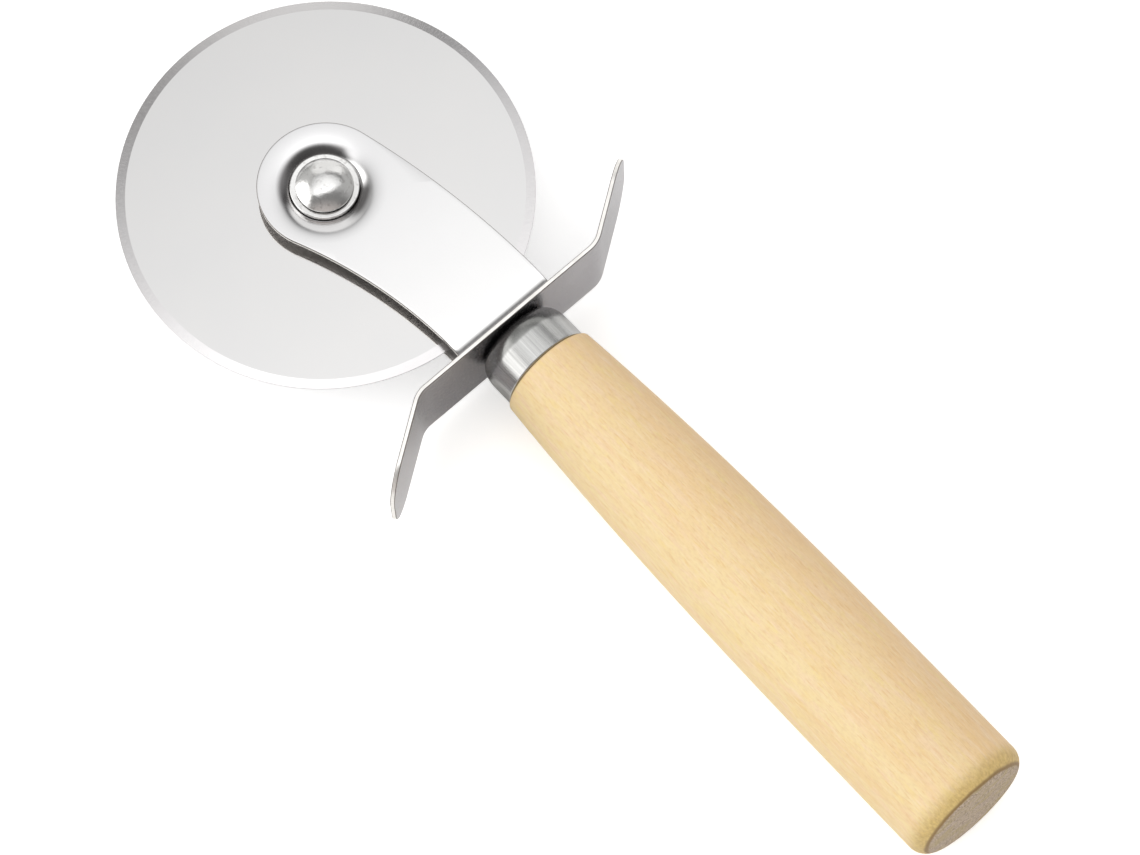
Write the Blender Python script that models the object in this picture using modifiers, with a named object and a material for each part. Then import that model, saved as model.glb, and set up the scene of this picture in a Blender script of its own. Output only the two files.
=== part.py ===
# Pizza cutter: a steel wheel turns on a riveted axle between the arms of a folded sheet fork.
# A wood screw through the fork's base holds a bent finger guard, a ferrule and a turned wooden handle.
# It lies flat: +X runs along the handle, +Z along the axle, and the origin is under the middle of its box.

import math

import bmesh
import bpy
import numpy as np

# Sizes are in metres.

# Wheel
wheel_diameter = 0.0900
wheel_thickness = 0.0010
bevel_width = 0.0021
edge_thickness = 0.0002

# Clearances
running_clearance = 0.0003
seat_gap = 0.0003

# Axle rivet, its collars and the two washers that the wheel rubs on
barrel_diameter = 0.0060
post_diameter = 0.0038
rivet_head_diameter = 0.0124
rivet_head_height = 0.0028
rivet_head_land = 0.0004
collar_diameter = 0.0150
collar_thickness = 0.0008
collar_round = 0.0003
washer_diameter = 0.0120
washer_thickness = 0.0006
bore_depth_share = 0.8

# Fork, folded from one strip of sheet
fork_thickness = 0.0010
arm_clearance = 0.0030
rim_clearance = 0.0043
eye_diameter = 0.0290
fork_base_width = 0.0253
fork_fold_radius = 0.0010
dimple_slope_width = 0.0023
axle_drop = 0.0080

# Finger guard, a strip bent like a flat Z
guard_thickness = 0.0010
guard_width = 0.0220
guard_bend_radius = 0.0060
guard_bend_angle = math.radians(34.5)
guard_tip_radius = 0.0080
thumb_reach = 0.0223
thumb_arm_length = 0.0203
finger_reach = 0.0240
finger_arm_length = 0.0212

# Ferrule
ferrule_diameter = 0.0212
ferrule_length = 0.0104
ferrule_wall = 0.0008
ferrule_nose_length = 0.0050
ferrule_nose_depth = 0.0030

# Handle
handle_length = 0.1312
handle_diameter = 0.0296
neck_diameter = 0.0227
neck_round = 0.0006
butt_round = 0.0040
swell_power = 3.0

# Handle screw
screw_diameter = 0.0036
screw_head_diameter = 0.0060
screw_head_height = 0.0024
screw_grip_length = 0.0320
screw_point_length = 0.0040
screw_tip_diameter = 0.0006
recess_width = 0.0009
recess_span_share = 0.72
recess_depth_share = 0.5
pilot_margin = 0.0020

# Cutters reach past what they cut by this much, and points closer than the weld distance are one.
cut_overrun = 0.0020
weld_distance = 0.00001

# Counts of facets
wheel_facets = 96
handle_facets = 40
small_facets = 32
screw_facets = 24
arc_facets = 5
nose_facets = 7
dome_facets = 6
swell_facets = 11
guard_rows = 4
guard_straight_facets = 2
guard_arm_facets = 2
fork_rows = 8
eye_facets = 26
sweep_facets = 3
arm_facets = 5

# Places that follow from the sizes, measured from the axle, with the wheel's middle plane at zero
wheel_radius = wheel_diameter / 2
wheel_face = wheel_thickness / 2
barrel_radius = barrel_diameter / 2
post_radius = post_diameter / 2
eye_radius = eye_diameter / 2
washer_level = wheel_face + seat_gap
dimple_level = washer_level + washer_thickness + seat_gap
arm_level = wheel_face + arm_clearance
collar_level = dimple_level + fork_thickness + seat_gap
head_level = collar_level + collar_thickness + seat_gap
dimple_floor_radius = collar_diameter / 2 + seat_gap
dimple_radius = dimple_floor_radius + dimple_slope_width

base_inner = wheel_radius + rim_clearance
base_middle = base_inner + fork_thickness / 2
base_outer = base_inner + fork_thickness
fold_start = base_inner - fork_fold_radius
thumb_edge = axle_drop + fork_base_width / 2
finger_edge = axle_drop - fork_base_width / 2

guard_middle = base_outer + seat_gap + guard_thickness / 2
guard_corner = min(guard_tip_radius, guard_width / 2)
ferrule_front = guard_middle + guard_thickness / 2 + seat_gap
ferrule_radius = ferrule_diameter / 2
shoulder = ferrule_front + ferrule_length + seat_gap
tenon_radius = ferrule_radius - ferrule_wall - seat_gap
tenon_length = ferrule_length - ferrule_wall
tenon_inset = ferrule_wall + seat_gap
handle_end = shoulder + handle_length
screw_seat = base_inner - seat_gap
screw_hole_radius = screw_diameter / 2 + seat_gap
screw_end = screw_seat + screw_grip_length

# The box of the whole cutter, which sets the origin
bend_middle_radius = guard_bend_radius + guard_thickness / 2
bend_gain = (bend_middle_radius + guard_thickness / 2) * math.sin(guard_bend_angle)
thumb_tip = axle_drop + thumb_reach + bend_gain + thumb_arm_length * math.cos(guard_bend_angle)
finger_tip = axle_drop - finger_reach - bend_gain - finger_arm_length * math.cos(guard_bend_angle)
half_height = max(handle_diameter / 2, guard_width / 2, head_level + rivet_head_height)
box_back = min(-wheel_radius, -eye_radius)
box_thumb_side = max(wheel_radius, thumb_tip)
box_finger_side = min(-wheel_radius, finger_tip)

quarter_turn = math.pi / 2
half_turn = math.pi
full_turn = 2 * math.pi


def clear_scene():
    """Remove every object of the scene."""
    for thing in list(bpy.data.objects):
        bpy.data.objects.remove(thing, do_unlink=True)


def new_collection(name):
    """A collection linked under the scene."""
    collection = bpy.data.collections.new(name)
    bpy.context.scene.collection.children.link(collection)
    return collection


def material(name, colour, roughness, metallic):
    """A Principled material of one colour."""
    made = bpy.data.materials.new(name)
    made.use_nodes = True
    shader = made.node_tree.nodes["Principled BSDF"]
    shader.inputs["Base Color"].default_value = (*colour, 1)
    shader.inputs["Roughness"].default_value = roughness
    shader.inputs["Metallic"].default_value = metallic
    made.diffuse_color = (*colour, 1)
    return made


clear_scene()
parts = new_collection("pizza_cutter")
cutters = new_collection("cutters")

axle_frame = bpy.data.objects.new("axle_frame", None)
axle_frame.empty_display_size = wheel_radius
axle_frame.location = (
    -(box_back + handle_end) / 2,
    -(box_thumb_side + box_finger_side) / 2,
    half_height,
)
parts.objects.link(axle_frame)


def add_object(name, mesh, finish, place, turn=(0, 0, 0)):
    """An object of the cutter, placed from the axle."""
    made = bpy.data.objects.new(name, mesh)
    made.parent = axle_frame
    made.location = place
    made.rotation_euler = turn
    mesh.materials.append(finish)
    parts.objects.link(made)
    return made


def turned_mesh(name, profile, closed):
    """The half section of a turned piece: points of radius and height, down the outer side."""
    points = [(radius, 0, height) for radius, height in profile]
    edges = [(i, i + 1) for i in range(len(points) - 1)]
    if closed:
        edges.append((len(points) - 1, 0))
    mesh = bpy.data.meshes.new(name)
    mesh.from_pydata(points, edges, [])
    return mesh


def add_turned(name, profile, facets, finish, place, turn=(0, 0, 0), closed=True):
    """A turned piece: its half section swept round the local Z axis."""
    made = add_object(name, turned_mesh(name, profile, closed), finish, place, turn)
    screw = made.modifiers.new("turn", "SCREW")
    screw.axis = "Z"
    screw.angle = full_turn
    screw.steps = facets
    screw.render_steps = facets
    screw.use_merge_vertices = True
    screw.merge_threshold = weld_distance
    screw.use_smooth_shade = True
    return made


def add_sheet(name, points, faces, thickness, finish, place):
    """A piece of sheet: an open middle surface thickened evenly to both sides."""
    mesh = bpy.data.meshes.new(name)
    mesh.from_pydata([tuple(point) for point in points], [], faces)
    cleaner = bmesh.new()
    cleaner.from_mesh(mesh)
    bmesh.ops.remove_doubles(cleaner, verts=cleaner.verts, dist=weld_distance)
    bmesh.ops.recalc_face_normals(cleaner, faces=cleaner.faces)
    cleaner.to_mesh(mesh)
    cleaner.free()
    mesh.shade_smooth()
    made = add_object(name, mesh, finish, place)
    wall = made.modifiers.new("wall", "SOLIDIFY")
    wall.thickness = thickness
    wall.offset = 0
    wall.use_even_offset = True
    return made


def add_cutter(name, mesh, place, turn=(0, 0, 0)):
    """A shape that is only used to cut, kept out of the model."""
    made = bpy.data.objects.new(name, mesh)
    made.parent = axle_frame
    made.location = place
    made.rotation_euler = turn
    made.hide_render = True
    made.display_type = "WIRE"
    cutters.objects.link(made)
    return made


def cylinder_mesh(name, radius, length, facets):
    """A closed cylinder along Z, centred on its origin."""
    mesh = bpy.data.meshes.new(name)
    builder = bmesh.new()
    bmesh.ops.create_cone(
        builder,
        cap_ends=True,
        segments=facets,
        radius1=radius,
        radius2=radius,
        depth=length,
    )
    builder.to_mesh(mesh)
    builder.free()
    return mesh


def box_mesh(name, across, along, deep):
    """A closed box centred on its origin."""
    mesh = bpy.data.meshes.new(name)
    builder = bmesh.new()
    bmesh.ops.create_cube(builder, size=1)
    bmesh.ops.scale(builder, verts=builder.verts, vec=(across, along, deep))
    builder.to_mesh(mesh)
    builder.free()
    return mesh


def cut(made, cutter, name):
    """Take the cutter's shape out of an object."""
    step = made.modifiers.new(name, "BOOLEAN")
    step.operation = "DIFFERENCE"
    step.object = cutter


def arc(centre_radius, centre_height, radius, start, end, count):
    """Points of a round corner in a half section, from one angle to another."""
    return [
        (centre_radius + radius * math.cos(angle), centre_height + radius * math.sin(angle))
        for angle in np.linspace(start, end, count + 1)
    ]


def dome(radius, land, height, base, count):
    """A low dome on a short straight land, from its top down to its base."""
    rise = height - land
    curve = [
        (radius * math.sin(angle), base + land + rise * math.cos(angle))
        for angle in np.linspace(0, quarter_turn, count + 1)
    ]
    return curve + [(radius, base)]


def nose_curve(radius, depth, length, front):
    """A quarter of an ellipse in a half section, from a straight side in to the front of a round nose."""
    return [
        (radius - depth * (1 - math.cos(angle)), front + length * (1 - math.sin(angle)))
        for angle in np.linspace(0, quarter_turn, nose_facets + 1)
    ]


def ring_section(inner, outer, bottom, top):
    """The half section of a flat ring, down its outer side and up its bore."""
    return [(inner, top), (outer, top), (outer, bottom), (inner, bottom)]


def rounded_ring_section(inner, outer, bottom, top, rounding):
    """The half section of a ring with both outer corners rounded."""
    upper = arc(outer - rounding, top - rounding, rounding, quarter_turn, 0, arc_facets - 2)
    lower = arc(outer - rounding, bottom + rounding, rounding, 0, -quarter_turn, arc_facets - 2)
    return [(inner, top)] + upper + lower + [(inner, bottom)]


wheel_steel = material("wheel_steel", (0.73, 0.73, 0.73), 0.16, 1.0)
fork_steel = material("fork_steel", (0.86, 0.85, 0.845), 0.24, 1.0)
guard_steel = material("guard_steel", (0.58, 0.57, 0.58), 0.22, 1.0)
ferrule_steel = material("ferrule_steel", (0.60, 0.58, 0.56), 0.30, 1.0)
rivet_steel = material("rivet_steel", (0.78, 0.775, 0.77), 0.18, 1.0)
screw_steel = material("screw_steel", (0.50, 0.50, 0.51), 0.32, 1.0)
washer_nylon = material("washer_nylon", (0.82, 0.81, 0.76), 0.45, 0.0)
pale_wood = material("pale_wood", (0.86, 0.66, 0.40), 0.48, 0.0)


def make_wheel():
    """The cutting wheel, ground from both faces to a thin edge."""
    bore = barrel_radius + running_clearance
    shoulder_radius = wheel_radius - bevel_width
    edge_face = edge_thickness / 2
    section = [
        (bore, wheel_face),
        (shoulder_radius, wheel_face),
        (wheel_radius, edge_face),
        (wheel_radius, -edge_face),
        (shoulder_radius, -wheel_face),
        (bore, -wheel_face),
    ]
    add_turned("wheel_blade", section, wheel_facets, wheel_steel, (0, 0, 0))


def make_axle():
    """The two-part rivet, with a collar under each head and a washer on each side of the wheel."""
    head_radius = rivet_head_diameter / 2
    collar_radius = collar_diameter / 2
    head_dome = dome(head_radius, rivet_head_land, rivet_head_height, head_level, dome_facets)

    barrel_top = dimple_level - seat_gap
    barrel_length = head_level + barrel_top
    bore_radius = post_radius + seat_gap
    bore_bottom = barrel_top - bore_depth_share * barrel_length
    post_section = head_dome + [
        (post_radius, head_level),
        (post_radius, bore_bottom + seat_gap),
        (0, bore_bottom + seat_gap),
    ]
    add_turned("rivet_post", post_section, small_facets, rivet_steel, (0, 0, 0), closed=False)

    socket_section = head_dome + [
        (barrel_radius, head_level),
        (barrel_radius, -barrel_top),
        (bore_radius, -barrel_top),
        (bore_radius, -bore_bottom),
        (0, -bore_bottom),
    ]
    add_turned(
        "rivet_socket",
        socket_section,
        small_facets,
        rivet_steel,
        (0, 0, 0),
        (half_turn, 0, 0),
        closed=False,
    )

    sides = (
        ("front", post_radius, (0, 0, 0)),
        ("rear", barrel_radius, (half_turn, 0, 0)),
    )
    for side, shank_radius, turn in sides:
        collar_section = rounded_ring_section(
            shank_radius + seat_gap,
            collar_radius,
            collar_level,
            collar_level + collar_thickness,
            collar_round,
        )
        add_turned(f"{side}_rivet_collar", collar_section, small_facets, rivet_steel, (0, 0, 0), turn)
        washer_section = ring_section(
            barrel_radius + seat_gap,
            washer_diameter / 2,
            washer_level,
            washer_level + washer_thickness,
        )
        add_turned(f"{side}_friction_washer", washer_section, small_facets, washer_nylon, (0, 0, 0), turn)


def sweep_radius(edge, outward):
    """Radius of the long curve that leaves the base square and runs into the eye's circle.

    It is negative where the curve bends away from the handle's axis.
    """
    reach = fold_start**2 + edge**2 - eye_radius**2
    return reach / (2 * (edge - outward * eye_radius))


def sweep_edge(across, edge, outward):
    """Place of the arm's edge at distances along the arm, on its long curve."""
    radius = sweep_radius(edge, outward)
    rise = np.sqrt(radius**2 - (fold_start - across) ** 2)
    return edge - radius + math.copysign(1, radius) * rise


def sweep_contact(edge, outward):
    """Where the long curve of an edge meets the circle of the eye."""
    radius = sweep_radius(edge, outward)
    centre = np.array([fold_start, edge - radius])
    away = -outward * math.copysign(1, radius)
    return away * centre / np.linalg.norm(centre) * eye_radius


def eye_outline(neck):
    """The outline round the eye, from the finger end of the neck line, up it and round."""
    thumb_contact = sweep_contact(thumb_edge, 1)
    finger_contact = sweep_contact(finger_edge, -1)
    start = math.atan2(thumb_contact[1], thumb_contact[0])
    end = math.atan2(finger_contact[1], finger_contact[0]) + full_turn
    neck_low = sweep_edge(neck, finger_edge, -1)
    neck_high = sweep_edge(neck, thumb_edge, 1)
    rows = np.linspace(neck_low, neck_high, fork_rows + 1)
    neck_line = np.column_stack([np.full(fork_rows + 1, neck), rows])
    thumb_across = np.linspace(neck, thumb_contact[0], sweep_facets + 1)[1:]
    thumb_sweep = np.column_stack([thumb_across, sweep_edge(thumb_across, thumb_edge, 1)])
    angles = np.linspace(start, end, eye_facets + 1)[1:]
    circle = eye_radius * np.column_stack([np.cos(angles), np.sin(angles)])
    finger_across = np.linspace(finger_contact[0], neck, sweep_facets + 1)[1:-1]
    finger_sweep = np.column_stack([finger_across, sweep_edge(finger_across, finger_edge, -1)])
    return np.vstack([neck_line, thumb_sweep, circle, finger_sweep])


def eye_rings(outline, hole_radius):
    """Rings round the axle: the hole, the dimple's floor, its slope and the outline itself."""
    middle_arm = arm_level + fork_thickness / 2
    middle_floor = dimple_level + fork_thickness / 2
    spokes = outline / np.linalg.norm(outline, axis=1, keepdims=True)
    slope = np.linspace(0, 1, arc_facets)
    ease = slope * slope * (3 - 2 * slope)
    radii = np.append(hole_radius, dimple_floor_radius + dimple_slope_width * slope)
    levels = np.append(middle_floor, middle_floor + (middle_arm - middle_floor) * ease)
    rings = []
    for radius, level in zip(radii, levels):
        rings.append(np.column_stack([radius * spokes, np.full(len(spokes), level)]))
    rings.append(np.column_stack([outline, np.full(len(outline), middle_arm)]))
    return rings


def arm_strip(neck):
    """Cross lines of the arm from the neck to the fold, round it and to the middle of the base."""
    middle_arm = arm_level + fork_thickness / 2
    middle_fold = fork_fold_radius + fork_thickness / 2
    across = np.linspace(neck, fold_start, arm_facets + 1)
    low = sweep_edge(across, finger_edge, -1)
    high = sweep_edge(across, thumb_edge, 1)
    stations = [(x, middle_arm, y0, y1) for x, y0, y1 in zip(across, low, high)]
    for angle in np.linspace(0, quarter_turn, arc_facets)[1:]:
        x = fold_start + middle_fold * math.sin(angle)
        z = middle_arm - middle_fold * (1 - math.cos(angle))
        stations.append((x, z, finger_edge, thumb_edge))
    stations.append((base_middle, 0, finger_edge, thumb_edge))
    lines = []
    for x, z, y0, y1 in stations:
        rows = np.linspace(y0, y1, fork_rows + 1)
        lines.append(np.column_stack([np.full(len(rows), x), rows, np.full(len(rows), z)]))
    return lines


def bridge(points, faces, first, second, closed):
    """Quads between two lines of points, added to the lists."""
    start = len(points)
    points.extend(first)
    points.extend(second)
    count = len(first)
    for i in range(count if closed else count - 1):
        j = (i + 1) % count
        faces.append((start + i, start + j, start + count + j, start + count + i))


def make_fork():
    """The fork: two arms with a round eye and a pressed dimple each, folded to a narrow base."""
    neck = dimple_radius + dimple_slope_width
    outline = eye_outline(neck)
    points = []
    faces = []
    for side, shank_radius in ((1, post_radius), (-1, barrel_radius)):
        mirror = np.array([1, 1, side])
        rings = [ring * mirror for ring in eye_rings(outline, shank_radius + seat_gap)]
        lines = [line * mirror for line in arm_strip(neck)]
        for first, second in zip(rings, rings[1:]):
            bridge(points, faces, first, second, True)
        for first, second in zip(lines, lines[1:]):
            bridge(points, faces, first, second, False)
    fork = add_sheet("fork", points, faces, fork_thickness, fork_steel, (0, 0, 0))
    hole = cylinder_mesh("fork_hole", screw_hole_radius, 2 * cut_overrun, screw_facets)
    place = (base_middle, axle_drop, 0)
    cut(fork, add_cutter("fork_hole", hole, place, (0, quarter_turn, 0)), "screw_hole")


def guard_side(reach, arm_length):
    """Half of the guard's path from the handle's axis to a tip: places and distances to the tip."""
    round_start = arm_length - guard_corner
    straight = [(0, y, 0) for y in np.linspace(0, reach, guard_straight_facets + 1)]
    bend = []
    for angle in np.linspace(0, guard_bend_angle, arc_facets)[1:]:
        x = -bend_middle_radius * (1 - math.cos(angle))
        y = reach + bend_middle_radius * math.sin(angle)
        bend.append((x, y, bend_middle_radius * angle))
    corner = bend[-1]
    tip_angles = np.linspace(0, quarter_turn, arc_facets + 1)[1:]
    along = list(np.linspace(0, round_start, guard_arm_facets + 1)[1:])
    along += [round_start + guard_corner * math.sin(angle) for angle in tip_angles]
    arm = []
    for step in along:
        x = corner[0] - step * math.sin(guard_bend_angle)
        y = corner[1] + step * math.cos(guard_bend_angle)
        arm.append((x, y, corner[2] + step))
    path = np.array(straight + bend + arm)
    to_tip = np.full(len(path), guard_corner)
    to_tip[-len(tip_angles):] = arm_length - np.array(along[-len(tip_angles):])
    return path[:, :2], to_tip


def make_guard():
    """The guard: its thumb arm leans to the wheel and its finger arm to the handle."""
    thumb_path, thumb_to_tip = guard_side(thumb_reach, thumb_arm_length)
    finger_path, finger_to_tip = guard_side(finger_reach, finger_arm_length)
    path = np.vstack([-finger_path[::-1], thumb_path[1:]])
    to_tip = np.append(finger_to_tip[::-1], thumb_to_tip[1:])
    inset = guard_corner - to_tip
    half_width = guard_width / 2 - guard_corner + np.sqrt(guard_corner**2 - inset**2)
    shares = np.linspace(-1, 1, guard_rows + 1)
    lines = []
    for (x, y), half in zip(path, half_width):
        lines.append([(x, y, half * share) for share in shares])
    points = []
    faces = []
    for first, second in zip(lines, lines[1:]):
        bridge(points, faces, first, second, False)
    place = (guard_middle, axle_drop, 0)
    guard = add_sheet("finger_guard", points, faces, guard_thickness, guard_steel, place)
    hole = cylinder_mesh("guard_hole", screw_hole_radius, 2 * cut_overrun, screw_facets)
    cut(guard, add_cutter("guard_hole", hole, place, (0, quarter_turn, 0)), "screw_hole")


def make_ferrule():
    """The ferrule: a drawn cup with a rounded nose and a hole for the screw."""
    outer = ferrule_radius
    inner = ferrule_radius - ferrule_wall
    inner_depth = ferrule_nose_depth - ferrule_wall
    inner_length = ferrule_nose_length - ferrule_wall
    outside = nose_curve(outer, ferrule_nose_depth, ferrule_nose_length, 0)
    inside = nose_curve(inner, inner_depth, inner_length, ferrule_wall)
    section = [(outer, ferrule_length)] + outside
    section += [(screw_hole_radius, 0), (screw_hole_radius, ferrule_wall)]
    section += inside[::-1] + [(inner, ferrule_length)]
    place = (ferrule_front, axle_drop, 0)
    add_turned("ferrule", section, handle_facets, ferrule_steel, place, (0, quarter_turn, 0))


def handle_radius(along):
    """Radius of the wood at a share of its length, a swell that flattens out towards the butt."""
    spread = (handle_diameter - neck_diameter) / 2
    return handle_diameter / 2 - spread * (1 - along) ** swell_power


def make_handle():
    """The turned wooden handle, with a tenon in the ferrule and a pilot hole for the screw."""
    butt_corner = handle_diameter / 2 - butt_round
    butt = arc(butt_corner, handle_length - butt_round, butt_round, quarter_turn, 0, arc_facets)
    body_end = handle_length - butt_round
    shares = np.linspace(1, 0, swell_facets + 1)
    heights = neck_round + (body_end - neck_round) * shares
    body = [(handle_radius(share), height) for share, height in zip(shares, heights)]
    neck_corner = neck_diameter / 2 - neck_round
    neck = arc(neck_corner, neck_round, neck_round, 0, -quarter_turn, arc_facets - 2)
    pilot_end = screw_end + pilot_margin - shoulder
    section = [(0, handle_length)] + butt + body[1:] + neck[1:]
    tenon_depth = ferrule_nose_depth - tenon_inset
    tenon_nose = ferrule_nose_length - tenon_inset
    section += [(tenon_radius, 0)] + nose_curve(tenon_radius, tenon_depth, tenon_nose, -tenon_length)
    section += [
        (screw_hole_radius, -tenon_length),
        (screw_hole_radius, pilot_end),
        (0, pilot_end),
    ]
    place = (shoulder, axle_drop, 0)
    add_turned("handle", section, handle_facets, pale_wood, place, (0, quarter_turn, 0), closed=False)


def make_screw():
    """The wood screw: a domed head with a cross recess inside the fork, and a plain shank."""
    radius = screw_diameter / 2
    head_radius = screw_head_diameter / 2
    head = dome(head_radius, screw_head_height / 3, screw_head_height, 0, dome_facets)
    section = head + [
        (radius, 0),
        (radius, screw_point_length - screw_grip_length),
        (screw_tip_diameter / 2, -screw_grip_length),
        (0, -screw_grip_length),
    ]
    place = (screw_seat, axle_drop, 0)
    turn = (0, -quarter_turn, 0)
    screw = add_turned("handle_screw", section, screw_facets, screw_steel, place, turn, closed=False)
    span = recess_span_share * screw_head_diameter
    depth = recess_depth_share * screw_head_height
    cutter_place = (screw_seat - screw_head_height, axle_drop, 0)
    for name, across, along in (("first", span, recess_width), ("second", recess_width, span)):
        slot = box_mesh(f"{name}_recess", across, along, 2 * depth)
        cut(screw, add_cutter(f"{name}_recess", slot, cutter_place, turn), f"{name}_recess")


make_wheel()
make_axle()
make_fork()
make_guard()
make_ferrule()
make_handle()
make_screw()
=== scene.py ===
"""Looks of a pizza cutter: a polished wheel in a folded fork, a guard, a ferrule, a turned handle.

It lies flat with its wheel level. +X runs along the handle, +Z along the axle. Sizes are in metres.
"""

import math

import bmesh
import bpy
import numpy as np
from mathutils import Matrix, Vector


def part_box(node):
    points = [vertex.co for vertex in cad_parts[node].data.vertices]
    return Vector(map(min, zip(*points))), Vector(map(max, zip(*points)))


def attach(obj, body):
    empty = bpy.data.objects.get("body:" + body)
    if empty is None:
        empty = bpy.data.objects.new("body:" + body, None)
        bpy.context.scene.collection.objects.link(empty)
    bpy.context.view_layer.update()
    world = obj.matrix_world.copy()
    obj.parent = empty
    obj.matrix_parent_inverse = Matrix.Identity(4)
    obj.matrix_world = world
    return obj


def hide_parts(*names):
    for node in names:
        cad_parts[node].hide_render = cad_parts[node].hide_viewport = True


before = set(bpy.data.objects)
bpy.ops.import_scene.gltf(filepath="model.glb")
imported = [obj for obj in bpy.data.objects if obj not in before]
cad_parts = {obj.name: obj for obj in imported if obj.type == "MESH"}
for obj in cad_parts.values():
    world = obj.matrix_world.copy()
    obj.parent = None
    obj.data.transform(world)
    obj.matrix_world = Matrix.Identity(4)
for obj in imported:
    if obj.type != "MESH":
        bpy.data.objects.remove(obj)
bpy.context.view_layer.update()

# Wheel
WHEEL_RADIUS = 0.0450
WHEEL_FACE = 0.0005
WHEEL_BORE = 0.0033
BEVEL_WIDTH = 0.0021
EDGE_FACE = 0.0001
WHEEL_ROUND = 0.00015
EDGE_ROUND = 0.00003

# Fork, with the levels of its sheet's middle above the wheel's middle
SHEET = 0.0010
ARM_LEVEL = 0.0040
FLOOR_LEVEL = 0.0022
EYE_RADIUS = 0.0145
POST_HOLE = 0.0022
BARREL_HOLE = 0.0033
DISH_FOOT = 0.00745
DISH_EDGE = 0.0142
AXLE_DROP = 0.0080
BASE_HALF = 0.01265
SWEEP_END = 0.0483
BASE_MIDDLE = 0.0498
FOLD_REACH = 0.0065
FOLD_DEPTH = 0.0019
SCREW_HOLE = 0.0021
FORK_BURR = 0.00013

# Guard, with its reaches from the handle's axis to the bends, and its arms from there to the tips
GUARD_MIDDLE = 0.0511
GUARD_HALF = 0.0110
GUARD_ANGLE = math.radians(34.5)
GUARD_BEND = 0.0065
GUARD_CORNER = 0.0080
THUMB_REACH = 0.0223
THUMB_ARM = 0.0203
FINGER_REACH = 0.0240
FINGER_ARM = 0.0212
GUARD_BURR = 0.00015

# Ferrule and handle, with their places along the handle's axis from the axle
FERRULE_FRONT = 0.0519
FERRULE_RADIUS = 0.0106
FERRULE_LENGTH = 0.0104
FERRULE_WALL = 0.0008
FERRULE_ROUNDS = (0.0004, 0.0001)
NOSE_LENGTH = 0.0050
NOSE_DEPTH = 0.0030
SHOULDER = 0.0626
HANDLE_LENGTH = 0.1312
HANDLE_END = SHOULDER + HANDLE_LENGTH
HANDLE_RADIUS = 0.0148
NECK_RADIUS = 0.01135
NECK_ROUND = 0.0006
BUTT_ROUND = 0.0040
TENON_RADIUS = 0.0095
TENON_LENGTH = 0.0096
PILOT_END = 0.0204

# Rivet, collars and washers, with their levels above the wheel's middle
COLLAR_LEVEL = 0.0030
COLLAR_TOP = 0.0038
COLLAR_RADIUS = 0.0075
COLLAR_DISH = 0.00013
COLLAR_ROUNDS = (0.0001, 0.0004, 0.00025, 0.0002, 0.0001)
HEAD_LEVEL = 0.0041
HEAD_TOP = 0.0069
HEAD_RADIUS = 0.0062
HEAD_LAND = 0.0004
HEAD_ROUNDS = (0.00012, 0.0001, 0.0001)
POST_RADIUS = 0.0019
BARREL_RADIUS = 0.0030
BARREL_TOP = 0.0014
BORE_SHARE = 0.8
WASHER_BASE = 0.0008
WASHER_TOP = 0.0014
WASHER_RADIUS = 0.0060
WASHER_ROUNDS = (0.0001, 0.0001, 0.0001, 0.0001)
GAP = 0.0003

# Facets round each turned piece
WHEEL_FACETS = 360
RIVET_FACETS = 128
COLLAR_FACETS = 160
WASHER_FACETS = 96
FERRULE_FACETS = 192
HANDLE_FACETS = 160
DRILL_FACETS = 64

# Points, rings and cross lines that the curves and surfaces are drawn with
EDGE_STEPS = 3
HEAD_STEPS = 4
RIM_STEPS = 5
CAP_POINTS = 33
NOSE_POINTS = 33
INNER_NOSE_POINTS = 17
HANDLE_POINTS = 61
BUTT_POINTS = 21
NECK_POINTS = 7
ARM_WIDTH_POINTS = 33
THUMB_EDGE_POINTS = 13
FINGER_EDGE_POINTS = 9
EYE_POINTS = 111
FLOOR_RINGS = 5
DISH_RINGS = 37
DISH_CROWDING = 1.2
RIM_RINGS = 3
ARM_LINES = 21
FOLD_LINES = 21
BASE_SHARES = np.array([0.75, 0.5, 0.25, 0])
GUARD_WIDTH_POINTS = 23
GUARD_LINES = 13
TIP_ARM_LINES = 9
TIP_LINES = 17
TIP_SHARE = 0.96

# Meshes and noise
SUPPORT = 0.00005
WELD = 0.000004
BROKEN_ANGLE = math.radians(50)
FULL_TURN = 2 * math.pi
QUARTER_TURN = math.pi / 2
METRES = (1.0, 1.0, 1.0)
NOISE_LOW = 0.3
NOISE_HIGH = 0.7

# Layers of the wood and of its end grain, in the order they are laid. For each: where its noise
# starts, the noise's scale, detail and roughness, the noise at which the layer starts and is full,
# its greatest share, its tone and, where it starts softly, True
WOOD_LAYERS = {
    "pink": (0.3, (130.0, 620.0, 620.0), 4.0, 0.6, 0.46, 0.66, 0.8, (0.91, 0.68, 0.445), True),
    "yellow": (0.5, (160.0, 560.0, 560.0), 3.0, 0.6, 0.52, 0.68, 0.65, (0.90, 0.70, 0.32), True),
    "bands": (0.9, (16.0, 240.0, 240.0), 3.0, 0.6, 0.46, 0.66, 0.38, (0.86, 0.585, 0.29), True),
    "streaks": (0.0, (95.0, 1900.0, 1900.0), 5.0, 0.65, 0.46, 0.74, 0.27, (0.82, 0.54, 0.26)),
    "flecks": (0.0, (340.0, 2600.0, 2600.0), 2.0, 0.5, 0.54, 0.72, 0.42, (0.78, 0.48, 0.22), True),
    "specks": (0.4, (900.0, 1700.0, 1700.0), 4.0, 0.65, 0.46, 0.74, 0.36, (0.72, 0.49, 0.26)),
    "lights": (0.7, (260.0, 2500.0, 2500.0), 3.0, 0.55, 0.53, 0.72, 0.4, (0.97, 0.79, 0.58)),
}
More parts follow.
